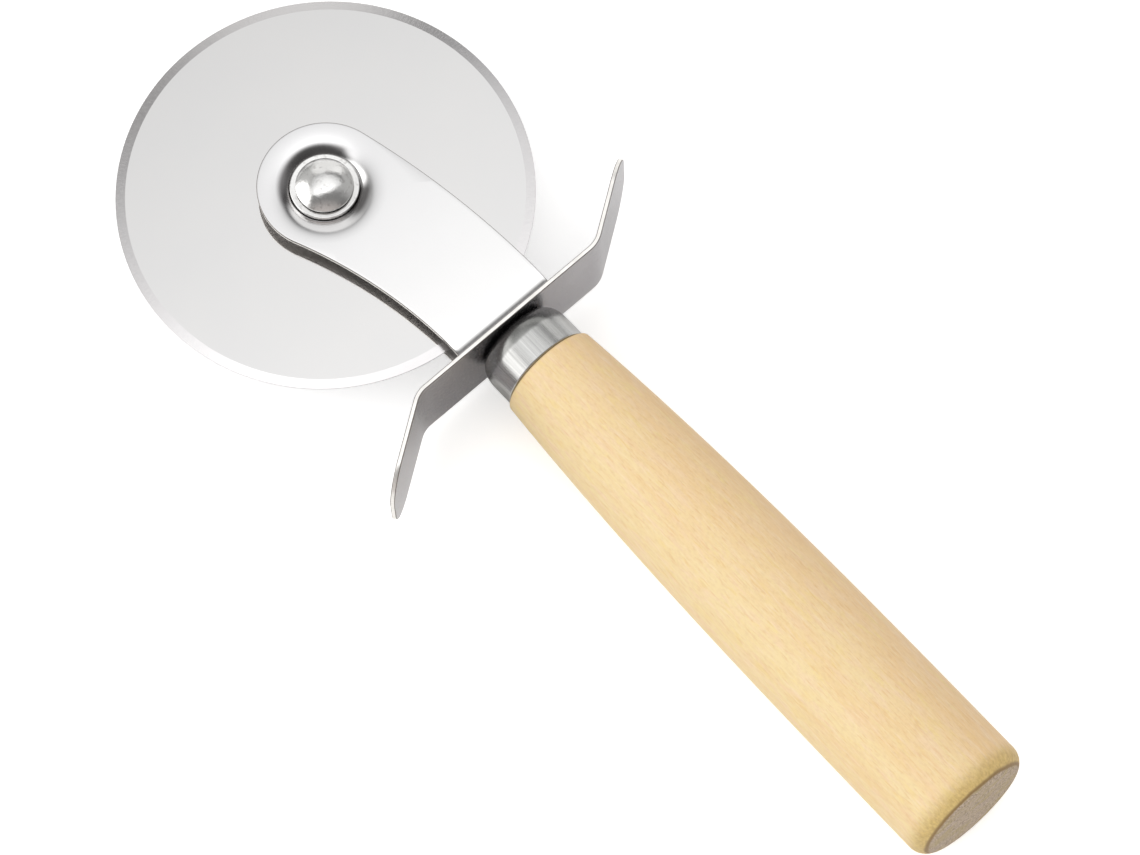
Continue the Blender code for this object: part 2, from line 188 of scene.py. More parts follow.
BUTT_LAYERS = {
    "pores": (0.0, (300.0, 1900.0, 1900.0), 4.0, 0.7, 0.40, 0.64, 1.0, (0.31, 0.23, 0.165)),
    "mottles": (0.0, (100.0, 210.0, 620.0), 4.0, 0.65, 0.44, 0.62, 0.6, (0.47, 0.37, 0.165)),
    "dark pores": (0.2, (300.0, 1100.0, 1100.0), 2.0, 0.5, 0.62, 0.70, 0.55, (0.16, 0.11, 0.08)),
}
# Wood tones with painted light and shade: the finger side lighter and yellower as lit, the thumb
# side darker and more orange as shaded.
LIT_SIDE_WOOD = (0.90, 0.715, 0.395)
SHADED_SIDE_WOOD = (0.90, 0.635, 0.35)
END_WOOD = (0.63, 0.51, 0.40)
BRIGHT_OLIVE = (0.68, 0.495, 0.17)
DARK_OLIVE = (0.49, 0.33, 0.10)
BROWN_LINE = (0.22, 0.125, 0.045)

# Camera, fitted to the outlines of wheel, handle and guard in the photograph
FOCAL_LENGTH = 189.47
SENSOR_WIDTH = 36.0
CAMERA_PLACE = (0.35105, -0.27968, 1.19539)
CAMERA_RIGHT = (0.667769, 0.744043, -0.021991)
CAMERA_UP = (-0.690748, 0.630406, 0.354197)
CAMERA_BACK = (0.277401, -0.221332, 0.934912)

# Glows of the sky: direction, reach in degrees, strength, and the core that is at full strength
TENT_GLOWS = [((0.12, -0.10, 0.99), 62.0, 0.75, 0.0), ((-0.25, -0.80, 0.56), 34.0, 1.3, 0.0)]
TENT_BASE = 0.55
ROOM_GLOWS = [
    ((-0.66, 0.66, 0.38), 38.0, 0.72, 20.0),
    ((-0.56, -0.76, 0.36), 36.0, 1.75, 22.0),
    ((0.25, 0.95, 0.38), 50.0, 0.28, 0.0),
    ((-0.86, -0.28, 0.43), 42.0, 0.35, 0.0),
]
ROOM_BASE = 0.20
DUSK_GLOW = ((0.75, -0.64, 0.10), 62.0, 0.36, 0.0)
DAY_COLOUR = (1.0, 0.995, 0.985, 1.0)
DUSK_COLOUR = (1.0, 0.88, 0.83, 1.0)
WHITE = (1.0, 1.0, 1.0, 1.0)

# Studio sheets
SQUARE = ((-1, -1), (1, -1), (1, 1), (-1, 1))
CARD_HEIGHT = 0.35
CARD_ALONG = np.array([0.78, -0.62, 0.0])
CARD_ACROSS = np.array([0.62, 0.78, 0.0])
CARD_CORNERS = ((-0.60, -0.44), (0.32, -0.44), (0.32, 0.50), (-0.60, 0.50))
CARD_SHIFTS = (0.149, -0.06)
CARD_BASE = 1.07
CARD_SLOPE = 1.6
CARD_CURL = 55.0
CARD_FALL = -5.5
CARD_LEAST = 0.1
CARD_SLANT = 0.35
CARD_AHEAD = 0.225
CARD_BEHIND = -0.27
CARD_ASIDE = 0.40
# A dark sheet standing for the shade on the floor under the ferrule, seen only in reflections.
SHADOW_SHEET_PLACE = (0.056, -0.004, 0.0006)
SHADOW_SHEET_HALF = 0.03
SHADOW_SHEET_COVER = 0.40
FLOOR_HALF = 3.0
FLOOR_SEEN = 0.45
FLOOR_MIRRORED = 0.12

wheel_low, wheel_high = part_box("wheel_blade")
AXLE = np.array((Vector(wheel_low) + Vector(wheel_high)) / 2)
HANDLE_AXIS = AXLE + np.array([0, AXLE_DROP, 0])


# Meshes


def grid_faces(rows, columns, wrap):
    """Quads of a grid kept row by row: a corner, the next along, the one above that and the one
    above the first. Where wrap is true the last column joins the first."""
    row = np.arange(rows - 1)[:, None]
    column = np.arange(columns if wrap else columns - 1)[None, :]
    following = (column + 1) % columns
    corners = [row * columns + column, row * columns + following]
    corners += [corners[1] + columns, corners[0] + columns]
    return np.stack(corners, axis=-1).reshape(-1, 4)


def stack_grids(grids):
    """Points and quads of several grids put one after another: each grid is (points of rows by
    columns by three, wrap), and its quads are moved up by the number of points before it."""
    points = [grid.reshape(-1, 3) for grid, wrap in grids]
    starts = np.cumsum([0] + [len(part) for part in points[:-1]])
    faces = [
        grid_faces(grid.shape[0], grid.shape[1], wrap) + start
        for (grid, wrap), start in zip(grids, starts)
    ]
    return np.vstack(points), np.vstack(faces)


def clean_mesh(name, grids):
    """A mesh of the grids, moved to the axle, welded, smooth, with its faces outwards."""
    points, faces = stack_grids(grids)
    mesh = bpy.data.meshes.new(name)
    mesh.from_pydata((points + AXLE).tolist(), [], faces.tolist())
    builder = bmesh.new()
    builder.from_mesh(mesh)
    bmesh.ops.remove_doubles(builder, verts=builder.verts, dist=WELD)
    bmesh.ops.dissolve_degenerate(builder, edges=builder.edges, dist=WELD / 4)
    bmesh.ops.recalc_face_normals(builder, faces=builder.faces)
    builder.to_mesh(mesh)
    builder.free()
    mesh.shade_smooth()
    return mesh


def new_object(name, mesh):
    """An object of a mesh, in the scene."""
    made = bpy.data.objects.new(name, mesh)
    bpy.context.scene.collection.objects.link(made)
    return made


def place(name, mesh, finish, body, nodes):
    """An object of a mesh, with its finish, that rides on a body and stands for the named nodes."""
    mesh.materials.append(finish)
    piece = new_object(name, mesh)
    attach(piece, body)
    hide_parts(*nodes)
    return piece


def rounded(corners, radii, steps):
    """A polyline with its corners rounded: at each inner corner the arc touches both legs, so its
    centre lies on their bisector at radius over the sine of half their angle. A point on each leg
    just outside the arc keeps the flat parts flat in the shading."""
    corners = np.array(corners, dtype=float)
    line = [corners[:1]]
    for before, corner, after, radius in zip(corners, corners[1:], corners[2:], radii):
        if radius == 0:
            line.append(corner[None])
            continue
        back = (before - corner) / np.linalg.norm(before - corner)
        ahead = (after - corner) / np.linalg.norm(after - corner)
        half = math.acos(float(np.clip(back @ ahead, -1, 1))) / 2
        bisector = (back + ahead) / np.linalg.norm(back + ahead)
        centre = corner + bisector * radius / math.sin(half)
        tangent = radius / math.tan(half)
        start = corner + back * tangent - centre
        end = corner + ahead * tangent - centre
        swing = math.pi - 2 * half
        share = np.linspace(0, 1, steps + 1)[:, None]
        arc = np.sin((1 - share) * swing) * start + np.sin(share * swing) * end
        line.append((corner + back * (tangent + SUPPORT))[None])
        line.append(centre + arc / math.sin(swing))
        line.append((corner + ahead * (tangent + SUPPORT))[None])
    line.append(corners[-1:])
    return np.vstack(line)


def quarter_ellipse(radius, depth, length, front, steps):
    """Points of a round nose, from the straight side to the front: the radius less the depth times
    one minus a cosine, and the front plus the length times one minus the sine."""
    angle = np.linspace(0, QUARTER_TURN, steps)
    nose_radius = radius - depth * (1 - np.cos(angle))
    return np.column_stack([nose_radius, front + length * (1 - np.sin(angle))])


def turned(profile, facets, along_handle=False, flip=False):
    """A grid of a turned piece: each point (radius, height) of the profile is carried round the
    axis, to radius times the cosine and sine of the angle, at its height. The axis is the axle's
    or the handle's. Where flip is true the heights on the axle are turned over."""
    angle = np.linspace(0, FULL_TURN, facets, endpoint=False)
    radius = profile[:, :1]
    height = profile[:, 1:] + 0 * angle
    across = radius * np.cos(angle)
    aside = radius * np.sin(angle)
    if along_handle:
        return np.stack([height, across + AXLE_DROP, aside], axis=-1)
    return np.stack([across, aside, -height if flip else height], axis=-1)


def turned_piece(name, profile, facets, finish, body, slot, nodes, **turn):
    """A turned piece made from its half section."""
    mesh = clean_mesh(name, [(turned(profile, facets, **turn), True)])
    return place(name, mesh, finish, body, nodes)


def closed_ring(corners, radii, steps):
    """A closed half section with its corners rounded, from the middle of its last side round to
    there."""
    middle = (np.array(corners[0]) + np.array(corners[-1])) / 2
    return rounded([middle, *corners, middle], radii, steps)


def baked(piece):
    """The piece with its modifiers made part of its mesh."""
    graph = bpy.context.evaluated_depsgraph_get()
    mesh = bpy.data.meshes.new_from_object(piece.evaluated_get(graph))
    mesh.name = piece.name
    old = piece.data
    piece.modifiers.clear()
    piece.data = mesh
    bpy.data.meshes.remove(old)
    return piece


def screw_drill():
    """A bar as thick as the screw's hole, through the guard and the fork's base."""
    ends = [(0, -SHEET * 2), (SCREW_HOLE, -SHEET * 2), (SCREW_HOLE, SHEET * 2), (0, SHEET * 2)]
    bar = rounded(ends, (0, 0), 1)
    bar[:, 1] += GUARD_MIDDLE - SHEET / 2
    grid = turned(bar, DRILL_FACETS, along_handle=True)
    return new_object("drill", clean_mesh("drill", [(grid, True)]))


def sheet_piece(name, grids, finishes, burr, node):
    """A piece of sheet metal: its middle surface, thickened to both sides, with the cut edges
    broken by the burr's width and the screw's hole cut. The finishes are those of the outer face,
    the inner face, the cut edge and the thin line where an edge is broken."""
    mesh = clean_mesh(name, grids)
    for finish in finishes:
        mesh.materials.append(finish)
    piece = new_object(name, mesh)
    wall = piece.modifiers.new("wall", "SOLIDIFY")
    wall.thickness = SHEET
    wall.offset = 0
    wall.use_even_offset = True
    wall.material_offset = 1
    wall.material_offset_rim = 2
    edge = piece.modifiers.new("broken_edge", "BEVEL")
    edge.width = burr
    edge.use_clamp_overlap = False
    edge.segments = EDGE_STEPS
    edge.limit_method = "ANGLE"
    edge.angle_limit = BROKEN_ANGLE
    edge.material = 3
    drill = screw_drill()
    hole = piece.modifiers.new("hole", "BOOLEAN")
    hole.operation = "DIFFERENCE"
    hole.object = drill
    bpy.context.view_layer.update()
    baked(piece)
    bpy.data.objects.remove(drill, do_unlink=True)

    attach(piece, "frame")
    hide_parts(node)
    return piece


# Materials


def node(tree, kind, values=None, **settings):
    """A shader node: settings are its own, and each value goes to a socket, linked if it is one."""
    made = tree.nodes.new(kind)
    for key, setting in settings.items():
        setattr(made, key, setting)
    for socket, value in (values or {}).items():
        if isinstance(value, bpy.types.NodeSocket):
            tree.links.new(value, made.inputs[socket])
        else:
            made.inputs[socket].default_value = value
    return made


def new_finish(name, **values):
    """A material with one Principled shader, its even values set on the shader's own sockets."""
    finish = bpy.data.materials.new(name)
    finish.use_nodes = True
    tree = finish.node_tree
    shader = tree.nodes["Principled BSDF"]
    for socket, value in values.items():
        shader.inputs[socket.replace("_", " ").title().replace("Ior", "IOR")].default_value = value
    return finish, tree, shader


def finished(tree, shader, colour, roughness, relief, depth):
    """Gives the shader its colour, its roughness and a relief of the given depth."""
    tree.links.new(colour, shader.inputs["Base Color"])
    tree.links.new(roughness, shader.inputs["Roughness"])
    bump = node(tree, "ShaderNodeBump", {"Height": relief, "Distance": depth, "Strength": 1.0})
    tree.links.new(bump.outputs[0], shader.inputs["Normal"])


def vector_node(tree, operation, values):
    """One step of arithmetic on vectors."""
    return node(tree, "ShaderNodeVectorMath", values, operation=operation)


def math_node(tree, operation, first, second=0.0, third=0.0):
    """One step of arithmetic."""
    made = node(tree, "ShaderNodeMath", {0: first, 1: second, 2: third}, operation=operation)
    return made.outputs[0]


def summed(tree, parts):
    """The sum of several numbers."""
    total = parts[0]
    for part in parts[1:]:
        total = math_node(tree, "ADD", total, part)
    return total


def dotted(tree, vector, direction):
    """How far a vector points along a direction."""
    return vector_node(tree, "DOT_PRODUCT", {0: vector, 1: direction}).outputs[1]


def spot(tree, centre, scale):
    """Object coordinates measured from a centre, with a scale for each axis."""
    coordinates = node(tree, "ShaderNodeTexCoord")
    place_of_centre = tuple(float(part) for part in centre)
    values = {0: coordinates.outputs["Object"], 1: place_of_centre}
    moved = vector_node(tree, "SUBTRACT", values)
    return vector_node(tree, "MULTIPLY", {0: moved.outputs[0], 1: scale}).outputs[0]


def radius_from(tree, vector):
    """A vector flattened onto its X and Y, and its distance from the Z axis."""
    flat = vector_node(tree, "MULTIPLY", {0: vector, 1: (1, 1, 0)})
    length = vector_node(tree, "LENGTH", {0: flat.outputs[0]})
    return flat.outputs[0], length.outputs[1]


def noise(tree, vector, detail=3.0, roughness=0.55):
    """Noise of a vector that is already scaled."""
    values = {"Vector": vector, "Scale": 1.0, "Detail": detail, "Roughness": roughness}
    return node(tree, "ShaderNodeTexNoise", values).outputs[0]


def speckle(tree, centre, scale, detail=3.0, roughness=0.55):
    """Noise round a centre, with its own scale along each axis."""
    return noise(tree, spot(tree, centre, scale), detail, roughness)


def spread(tree, value, low, high, start=0.0, end=1.0, soft=False):
    """A value taken from low..high to start..end, held at the ends."""
    made = node(
        tree,
        "ShaderNodeMapRange",
        {"Value": value, "From Min": low, "From Max": high, "To Min": start, "To Max": end},
        interpolation_type="SMOOTHSTEP" if soft else "LINEAR",
        clamp=True,
    )
    return made.outputs[0]


def ranged(tree, pattern, start, end):
    """A number that a noise moves from start to end."""
    return spread(tree, pattern, NOISE_LOW, NOISE_HIGH, start, end)


def weighed(tree, share, first, second):
    """Two numbers mixed by a share."""
    values = {0: share, 2: first, 3: second}
    return node(tree, "ShaderNodeMix", values, data_type="FLOAT").outputs[0]


def mixed(tree, share, first, second):
    """Two colours mixed by a share."""
    made = node(tree, "ShaderNodeMix", data_type="RGBA", blend_type="MIX")
    for index, value in ((0, share), (6, first), (7, second)):
        if isinstance(value, bpy.types.NodeSocket):
            tree.links.new(value, made.inputs[index])
        else:
            made.inputs[index].default_value = value if index == 0 else (*value, 1.0)
    return made.outputs[2]


def laid(tree, colour, pattern, low, high, share, tone, soft=False):
    """A colour with a tone laid over it: none of it where the pattern is at its low value, up to
    the given share at its high value."""
    return mixed(tree, spread(tree, pattern, low, high, 0.0, share, soft), colour, tone)


def layered(tree, colour, centre, layers):
    """A colour with noises laid over it one after another, and the noises by name. Each noise
    starts at its own place."""
    noises = {}
    for name, (start, scale, detail, roughness, *layer) in layers.items():
        noises[name] = speckle(tree, centre + start, scale, detail, roughness)
        colour = laid(tree, colour, noises[name], *layer)
    return colour, noises


def wheel_finish():
    """Polished disc: faint clouds and turned polish rings, and a bevel ground with fine slanting
    lines, a noise of the direction from the axle moved along by the distance from it."""
    finish, tree, shader = new_finish("polished_wheel", metallic=1.0)
    flat, radius = radius_from(tree, spot(tree, AXLE, METRES))
    ground_from = WHEEL_RADIUS - BEVEL_WIDTH
    on_bevel = spread(tree, radius, ground_from - 0.00002, ground_from)

    clouds = speckle(tree, AXLE, (45.0, 45.0, 45.0))
    dark_face, bright_face = (0.735, 0.73, 0.728), (0.75, 0.742, 0.736)
    face = laid(tree, dark_face, clouds, NOISE_LOW, NOISE_HIGH, 1.0, bright_face)
    around = vector_node(tree, "NORMALIZE", {0: flat})
    spun = vector_node(tree, "SCALE", {0: around.outputs[0], "Scale": 260.0})
    ground = node(tree, "ShaderNodeCombineXYZ", {2: math_node(tree, "MULTIPLY", radius, 900.0)})
    lines = vector_node(tree, "ADD", {0: spun.outputs[0], 1: ground.outputs[0]})
    grind = noise(tree, lines.outputs[0], 3.0, 0.6)
    dark_bevel, bright_bevel = (0.715, 0.70, 0.705), (0.79, 0.775, 0.775)
    bevel = laid(tree, dark_bevel, grind, NOISE_LOW, NOISE_HIGH, 1.0, bright_bevel)

    rings = node(tree, "ShaderNodeCombineXYZ", {0: math_node(tree, "MULTIPLY", radius, 5200.0)})
    polish = noise(tree, rings.outputs[0], 2.0)
    face_rough = ranged(tree, polish, 0.06, 0.09)
    roughness = weighed(tree, on_bevel, face_rough, ranged(tree, grind, 0.14, 0.22))
    relief = math_node(tree, "MULTIPLY", grind, on_bevel)
    finished(tree, shader, mixed(tree, on_bevel, face, bevel), roughness, relief, 0.000002)
    return finish


def fork_finish():
    """The fork's polish, with a painted reflection that makes it brighter along the arm towards its
    base. Round the rivet lies a painted dark reflection, dark crescents laid into the colour, which
    are missing on the thumb side and faint on the finger side towards the handle."""
    finish, tree, shader = new_finish("polished_fork", metallic=1.0)
    metric = spot(tree, AXLE, METRES)
    parts = node(tree, "ShaderNodeSeparateXYZ", {0: metric})
    # Painted reflection: the colour brightens along the arm towards the base.
    along = spread(tree, parts.outputs[0], -EYE_RADIUS, GUARD_MIDDLE)
    polish_and_painted_light = mixed(tree, along, (0.775, 0.77, 0.775), (0.90, 0.895, 0.89))
    clouds = speckle(tree, AXLE, (110.0, 110.0, 110.0), 2.0)
    polish_and_painted_light = laid(tree, polish_and_painted_light, clouds, NOISE_LOW, NOISE_HIGH, 0.06, (0.70, 0.69, 0.70))

    flat, radius = radius_from(tree, metric)
    around = vector_node(tree, "NORMALIZE", {0: flat}).outputs[0]
    # Painted dark reflection round the rivet: dark crescents in the colour, shaped by direction so
    # that they are missing on the thumb side. The roughness rises there too.
    mark_inside, mark_outside = COLLAR_RADIUS + 0.0016, COLLAR_RADIUS + 0.0032
    reflection_ring = spread(tree, radius, mark_inside, mark_outside, 0.85, 0.0, soft=True)
    far_way = dotted(tree, around, (-0.638, 0.770, 0.0))
    reflection_side = spread(tree, far_way, -0.85, -0.45, 0.1, 1.0, soft=True)
    reflection_gap_way = dotted(tree, around, (0.17, 0.985, 0.0))
    reflection_gap = spread(tree, reflection_gap_way, 0.80, 0.985, 1.0, 0.0, soft=True)
    painted_dark_reflection = math_node(tree, "MULTIPLY", math_node(tree, "MULTIPLY", reflection_ring, reflection_side), reflection_gap)
    colour = mixed(tree, painted_dark_reflection, polish_and_painted_light, (0.11, 0.103, 0.103))

    lines = speckle(tree, AXLE, (150.0, 5000.0, 900.0), 3.0, 0.6)
    roughness = math_node(tree, "MULTIPLY_ADD", painted_dark_reflection, 0.08, ranged(tree, lines, 0.09, 0.14))
    finished(tree, shader, colour, roughness, lines, 0.0000015)
    return finish


def fork_inside_finish():
    """The unpolished inner face of the fork: dull steel with rolling lines across the arm."""
    finish, tree, shader = new_finish("rolled_fork_inside", metallic=1.0)
    lines = speckle(tree, AXLE, (3000.0, 220.0, 900.0), 4.0, 0.65)
    colour = mixed(tree, lines, (0.62, 0.59, 0.57), (0.78, 0.76, 0.74))
    finished(tree, shader, colour, ranged(tree, lines, 0.42, 0.56), lines, 0.000010)
    return finish


def cut_edge_finish(name, bright):
    """A sheared edge rubbed bright, with small darker nicks along it."""
    finish, tree, shader = new_finish(name, metallic=1.0)
    nicks = speckle(tree, AXLE, (420.0, 420.0, 1400.0))
    nicked = tuple(0.88 * part for part in bright)
    colour = laid(tree, bright, nicks, 0.40, 0.75, 1.0, nicked)
    finished(tree, shader, colour, ranged(tree, nicks, 0.30, 0.40), nicks, 0.000003)
    return finish


def burr_finish(name):
    """The thin broken line along a sheared edge, darker than the faces it parts."""
    finish, tree, shader = new_finish(name, metallic=1.0)
    nicks = speckle(tree, AXLE, (1400.0, 1400.0, 900.0), 3.0, 0.6)
    colour = mixed(tree, nicks, (0.14, 0.125, 0.115), (0.28, 0.25, 0.235))
    finished(tree, shader, colour, ranged(tree, nicks, 0.34, 0.50), nicks, 0.000010)
    return finish


def guard_finish(name):
    """Satin sheet, slightly violet, with a fine even grain."""
    finish, tree, shader = new_finish(name, metallic=1.0)
    clouds = speckle(tree, AXLE, (120.0, 120.0, 120.0), 2.0)
    satin = mixed(tree, clouds, (0.40, 0.385, 0.405), (0.475, 0.46, 0.475))
    grain = speckle(tree, AXLE, (2500.0, 900.0, 5200.0), 4.0, 0.7)
    colour = laid(tree, satin, grain, 0.35, 0.75, 0.25, (0.38, 0.37, 0.375))
    finished(tree, shader, colour, ranged(tree, grain, 0.20, 0.30), grain, 0.000004)
    return finish


def ferrule_finish():
    """Drawn tube: fine lines along the axis, some of them darker, with a soft satin sheen, and a
    painted dark reflection on the nose, mottled."""
    finish, tree, shader = new_finish("drawn_ferrule", metallic=1.0)
    fine = speckle(tree, HANDLE_AXIS, (60.0, 6500.0, 6500.0), 5.0, 0.7)
    bright, dark = (0.64, 0.64, 0.63), (0.41, 0.41, 0.40)
    tube = laid(tree, bright, fine, NOISE_LOW, NOISE_HIGH, 1.0, dark)
    broad = speckle(tree, HANDLE_AXIS, (40.0, 2300.0, 2300.0))
    tube = laid(tree, tube, broad, 0.48, 0.72, 0.4, (0.34, 0.34, 0.34))
    parts = node(tree, "ShaderNodeSeparateXYZ", {0: spot(tree, HANDLE_AXIS, METRES)})
    # Painted dark reflection on the nose, with a wavy edge.
    wobble = speckle(tree, HANDLE_AXIS, (0.0, 900.0, 900.0))
    reach = math_node(tree, "MULTIPLY_ADD", wobble, 0.0005, parts.outputs[0])
    straight = FERRULE_FRONT + NOSE_LENGTH
    on_nose = spread(tree, reach, straight - 0.0008, straight + 0.0001, 1.0, 0.0, soft=True)
    nose_reflection_mottle = speckle(tree, HANDLE_AXIS, (500.0, 500.0, 500.0), 4.0, 0.6)
    painted_nose_reflection = mixed(tree, nose_reflection_mottle, (0.21, 0.212, 0.205), (0.34, 0.342, 0.33))
    colour = mixed(tree, on_nose, tube, painted_nose_reflection)
    finished(tree, shader, colour, ranged(tree, fine, 0.19, 0.30), fine, 0.000010)
    return finish


def rivet_finish():
    """Bright rivet steel with small marks of the press and a few darker pits."""
    finish, tree, shader = new_finish("bright_rivet", metallic=1.0)
    marks = speckle(tree, AXLE, (420.0, 420.0, 420.0), 5.0, 0.65)
    pits = speckle(tree, AXLE, (800.0, 800.0, 800.0), 3.0, 0.6)
    colour = mixed(tree, marks, (0.79, 0.785, 0.775), (0.88, 0.875, 0.865))
    colour = laid(tree, colour, pits, 0.54, 0.72, 0.5, (0.36, 0.34, 0.33))
    relief = math_node(tree, "MULTIPLY_ADD", pits, 0.15, marks)
    finished(tree, shader, colour, ranged(tree, marks, 0.11, 0.21), relief, 0.000060)
    return finish


def screw_finish():
    """Plain bright screw steel, with faint marks."""
    finish, tree, shader = new_finish("screw_steel", metallic=1.0)
    marks = speckle(tree, HANDLE_AXIS, (900.0, 900.0, 900.0), 4.0, 0.6)
    colour = mixed(tree, marks, (0.44, 0.44, 0.45), (0.58, 0.58, 0.59))
    finished(tree, shader, colour, ranged(tree, marks, 0.24, 0.38), marks, 0.000015)
    return finish


def nylon_finish():
    """Natural nylon, slightly mottled."""
    finish, tree, shader = new_finish("washer_nylon", subsurface_weight=0.15)
    shader.inputs["Subsurface Radius"].default_value = (0.001, 0.001, 0.001)
    mottle = speckle(tree, AXLE, (1800.0, 1800.0, 1800.0))
    colour = mixed(tree, mottle, (0.78, 0.77, 0.71), (0.85, 0.84, 0.79))
    finished(tree, shader, colour, ranged(tree, mottle, 0.40, 0.52), mottle, 0.000010)
    return finish


def wood_finish():
    """Pale close-grained wood, painted lighter and yellower on the finger side and darker and more
    orange on the thumb side as light and shade: soft patches of pink and yellow, broad bands, long
    streaks, short flecks, specks and light lines along the handle. The butt has an olive turned
    edge, a thin brown line round its end, and grey-brown end grain with pores and mottles."""
    finish, tree, shader = new_finish("pale_wood", specular_ior_level=0.35)
    parts = node(tree, "ShaderNodeSeparateXYZ", {0: spot(tree, HANDLE_AXIS, METRES)})
    # Painted light and shade across the handle: the finger side lit, the thumb side shaded, with a
    # wavy border between them.
    patches = speckle(tree, HANDLE_AXIS, (90.0, 260.0, 260.0), 4.0, 0.6)
    side = math_node(tree, "MULTIPLY_ADD", patches, -0.022, parts.outputs[1])
    body = laid(tree, LIT_SIDE_WOOD, side, -0.022, 0.004, 1.0, SHADED_SIDE_WOOD, soft=True)
    body, noises = layered(tree, body, HANDLE_AXIS, WOOD_LAYERS)

    wobble = speckle(tree, HANDLE_AXIS, (260.0, 260.0, 260.0))
    shifted = math_node(tree, "ADD", wobble, -0.5)
    reach = math_node(tree, "MULTIPLY_ADD", shifted, 0.0004, parts.outputs[0])
    end = HANDLE_END
    olive = laid(tree, BRIGHT_OLIVE, noises["specks"], 0.35, 0.65, 1.0, DARK_OLIVE)
    body = laid(tree, body, reach, end - 0.0062, end - 0.0014, 0.80, olive, soft=True)
    body = laid(tree, body, reach, end - 0.0012, end - 0.0007, 0.85, BROWN_LINE, soft=True)
    butt, butt_noises = layered(tree, END_WOOD, HANDLE_AXIS, BUTT_LAYERS)

    end_grain = spread(tree, reach, end - 0.0006, end - 0.00035, soft=True)
    colour = mixed(tree, end_grain, body, butt)
    streaks = noises["streaks"]
    roughness = weighed(tree, end_grain, ranged(tree, streaks, 0.42, 0.56), 0.75)
    pores = math_node(tree, "MULTIPLY", butt_noises["pores"], end_grain)
    relief = math_node(tree, "ADD", streaks, pores)
    finished(tree, shader, colour, roughness, relief, 0.000030)
    return finish


# Pieces


def make_wheel(finish):
    """The wheel: a flat disc ground from both faces to a thin edge."""
    ground_from = WHEEL_RADIUS - BEVEL_WIDTH
    corners = [
        (WHEEL_BORE, WHEEL_FACE),
        (ground_from, WHEEL_FACE),
        (WHEEL_RADIUS, EDGE_FACE),
        (WHEEL_RADIUS, -EDGE_FACE),
        (ground_from, -WHEEL_FACE),
        (WHEEL_BORE, -WHEEL_FACE),
    ]
    rounds = [WHEEL_ROUND, WHEEL_ROUND, EDGE_ROUND, EDGE_ROUND, WHEEL_ROUND, WHEEL_ROUND]
    section = closed_ring(corners, rounds, EDGE_STEPS)
    nodes = ["wheel_blade"]
    turned_piece("wheel_disc", section, WHEEL_FACETS, finish, "wheel", "wheel_steel", nodes)


def dome_section(shank, shank_end):
    """Half section of a rivet head: the cap of a ball whose radius is the head's radius squared
    plus the rise squared, over twice the rise, on a short land with a rounded rim, then the shank
    to its end."""
    rise = HEAD_TOP - HEAD_LEVEL - HEAD_LAND
    ball = (HEAD_RADIUS**2 + rise**2) / (2 * rise)
    angle = np.linspace(0, math.asin(HEAD_RADIUS / ball), CAP_POINTS)
    cap = np.column_stack([ball * np.sin(angle), HEAD_TOP - ball * (1 - np.cos(angle))])
    under = [(HEAD_RADIUS, HEAD_LEVEL), (shank, HEAD_LEVEL), (shank, shank_end)]
    rim = rounded([cap[-2], cap[-1], *under], HEAD_ROUNDS, HEAD_STEPS)
    return np.vstack([cap[:-1], rim[1:]])


def make_axle(rivet, nylon):
    """The rivet's two halves, the collars under their heads and the washers beside the wheel."""
    steel = (rivet, "frame", "rivet_steel")
    bore_bottom = BARREL_TOP - BORE_SHARE * (HEAD_LEVEL + BARREL_TOP)
    post_end = bore_bottom + GAP
    post = np.vstack([dome_section(POST_RADIUS, post_end), [(0, post_end)]])
    turned_piece("front_rivet", post, RIVET_FACETS, *steel, ["rivet_post"])
    bore = POST_RADIUS + GAP
    inside = [(bore, -BARREL_TOP), (bore, -bore_bottom), (0, -bore_bottom)]
    socket = np.vstack([dome_section(BARREL_RADIUS, -BARREL_TOP), inside])
    turned_piece("rear_rivet", socket, RIVET_FACETS, *steel, ["rivet_socket"], flip=True)
    for side, shank, flip in (("front", POST_RADIUS, False), ("rear", BARREL_RADIUS, True)):
        corners = [
            (shank + GAP, COLLAR_TOP - COLLAR_DISH),
            (HEAD_RADIUS - GAP, COLLAR_TOP - COLLAR_DISH),
            (COLLAR_RADIUS, COLLAR_TOP),
            (COLLAR_RADIUS, COLLAR_LEVEL),
            (shank + GAP, COLLAR_LEVEL),
        ]
        collar = closed_ring(corners, COLLAR_ROUNDS, RIM_STEPS)
        nodes = [f"{side}_rivet_collar"]
        turned_piece(f"{side}_collar", collar, COLLAR_FACETS, *steel, nodes, flip=flip)
        corners = [
            (BARREL_RADIUS + GAP, WASHER_TOP),
            (WASHER_RADIUS, WASHER_TOP),
            (WASHER_RADIUS, WASHER_BASE),
            (BARREL_RADIUS + GAP, WASHER_BASE),
        ]
        washer = closed_ring(corners, WASHER_ROUNDS, EDGE_STEPS)
        nodes = [f"{side}_friction_washer"]
        plastic = (nylon, "frame", "washer_nylon")
        turned_piece(f"{side}_washer", washer, WASHER_FACETS, *plastic, nodes, flip=flip)


def sweep_radius(edge, outward):
    """Radius of the long curve that leaves the fork's base square and runs into the eye's circle:
    the base's reach squared, plus the edge squared, less the eye's radius squared, over twice the
    edge less the eye's radius."""
    return (SWEEP_END**2 + edge**2 - EYE_RADIUS**2) / (2 * (edge - outward * EYE_RADIUS))


def sweep_edge(across, edge, outward):
    """Place of the arm's edge: the edge less the radius, plus the leg of the right triangle that
    the radius makes with the distance to the fold."""
    radius = sweep_radius(edge, outward)
    left = SWEEP_END - np.minimum(across, SWEEP_END)
    return edge - radius + math.copysign(1, radius) * np.sqrt(radius**2 - left**2)


